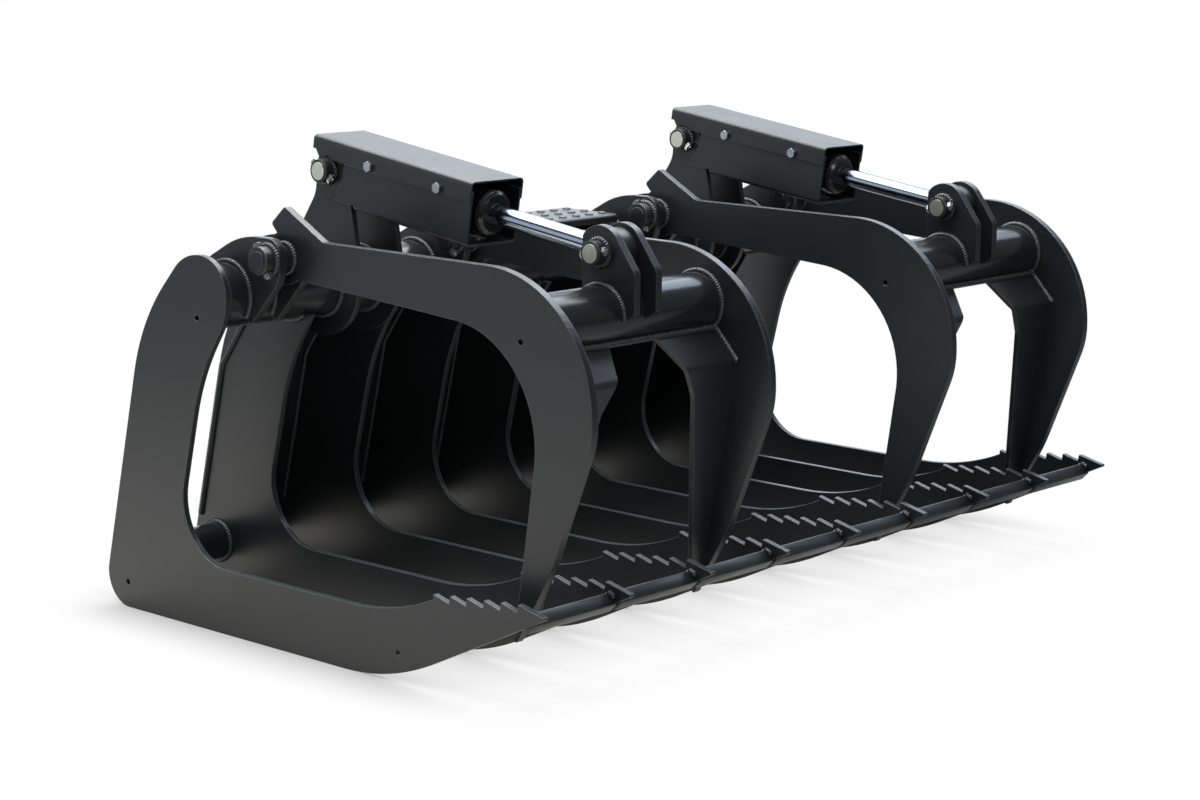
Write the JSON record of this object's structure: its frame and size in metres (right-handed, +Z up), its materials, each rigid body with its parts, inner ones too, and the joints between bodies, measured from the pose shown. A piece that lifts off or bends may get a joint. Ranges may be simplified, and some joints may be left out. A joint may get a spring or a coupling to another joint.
{
  "type": "root grapple",
  "caption": "Root grapple for a skid-steer loader: a rack of serrated C-shaped tines and two hydraulic clamps that close down on the load, each with a guarded cylinder.",
  "frame": {"origin": "on the floor under the middle bottom tine, half way across the width", "axes": "+X across the width; -Y to the front, where the tips point; +Z up"},
  "size_m": [1.836, 1.2679, 0.9467],
  "materials": {
    "black_paint": "semi-gloss",
    "rod_chrome": "polished",
    "zinc_steel": "zinc plated",
    "plated_pin": "yellow zinc plated",
    "machined_steel": "machined"
  },
  "bodies": {
    "frame": {"tine_1": "black_paint", "tine_2": "black_paint", "tine_3": "black_paint", "tine_4": "black_paint", "tine_5": "black_paint", "tine_6": "black_paint", "tine_7": "black_paint", "tine_8": "black_paint", "tine_9": "black_paint", "torque_tube": "black_paint", "lower_corner_tube_left": "black_paint", "lower_corner_tube_right": "black_paint", "front_crossbar": "black_paint", "back_panel": "black_paint", "attach_plate": "black_paint", "attach_top_lip": "black_paint", "attach_bottom_lip": "black_paint", "attach_side_guides": "black_paint", "step_plate": "black_paint", "step_ribs": "black_paint", "left_outer_pivot_ears": "black_paint", "left_inner_pivot_ears": "black_paint", "right_outer_pivot_ears": "black_paint", "right_inner_pivot_ears": "black_paint", "left_cylinder_brackets": "black_paint", "right_cylinder_brackets": "black_paint", "left_base_pin": "plated_pin", "right_base_pin": "plated_pin", "pivot_pins": "black_paint", "pin_bolts": "zinc_steel"},
    "left_clamp": {"left_clamp_outer_tine": "black_paint", "left_clamp_inner_tine": "black_paint", "left_clamp_hubs": "black_paint", "left_clamp_cross_tube": "black_paint", "left_clamp_stiffener": "black_paint", "left_rod_lugs": "black_paint", "left_rod_pin": "plated_pin", "left_rod_pin_bolt": "zinc_steel"},
    "left_barrel": {"left_cylinder_barrel": "black_paint", "left_cylinder_gland": "black_paint", "left_guard_trough": "black_paint", "left_guard_cover": "black_paint", "left_guard_bolts": "zinc_steel"},
    "left_rod": {"left_cylinder_rod": "rod_chrome", "left_piston": "machined_steel"},
    "right_clamp": {"right_clamp_outer_tine": "black_paint", "right_clamp_inner_tine": "black_paint", "right_clamp_hubs": "black_paint", "right_clamp_cross_tube": "black_paint", "right_clamp_stiffener": "black_paint", "right_rod_lugs": "black_paint", "right_rod_pin": "plated_pin", "right_rod_pin_bolt": "zinc_steel"},
    "right_barrel": {"right_cylinder_barrel": "black_paint", "right_cylinder_gland": "black_paint", "right_guard_trough": "black_paint", "right_guard_cover": "black_paint", "right_guard_bolts": "zinc_steel"},
    "right_rod": {"right_cylinder_rod": "rod_chrome", "right_piston": "machined_steel"}
  },
  "joints": [
    {"name": "left_clamp_hinge", "type": "hinge", "parent": "frame", "child": "left_clamp", "pos_m": [-0.548, 0.0825, 0.73], "axis": [-1, 0, 0], "range_deg": [0, 55]},
    {"name": "left_cylinder_pivot", "type": "hinge", "parent": "frame", "child": "left_barrel", "pos_m": [-0.548, 0.176, 0.877], "axis": [-1, 0, 0], "range_deg": [0, 50.5]},
    {"name": "left_cylinder_stroke", "type": "slide", "parent": "left_barrel", "child": "left_rod", "axis": [0, 0.9902, 0.1394], "range_m": [0, 0.153]},
    {"name": "right_clamp_hinge", "type": "hinge", "parent": "frame", "child": "right_clamp", "pos_m": [0.548, 0.0825, 0.73], "axis": [-1, 0, 0], "range_deg": [0, 55]},
    {"name": "right_cylinder_pivot", "type": "hinge", "parent": "frame", "child": "right_barrel", "pos_m": [0.548, 0.176, 0.877], "axis": [-1, 0, 0], "range_deg": [0, 50.5]},
    {"name": "right_cylinder_stroke", "type": "slide", "parent": "right_barrel", "child": "right_rod", "axis": [0, 0.9902, 0.1394], "range_m": [0, 0.153]}
  ],
  "couplings": [
    {"joint": "left_cylinder_pivot", "follows": "left_clamp_hinge", "ratio": 0.9107},
    {"joint": "left_cylinder_stroke", "follows": "left_clamp_hinge", "m_per_rad": 0.15879},
    {"joint": "right_cylinder_pivot", "follows": "right_clamp_hinge", "ratio": 0.9107},
    {"joint": "right_cylinder_stroke", "follows": "right_clamp_hinge", "m_per_rad": 0.15879}
  ]
}
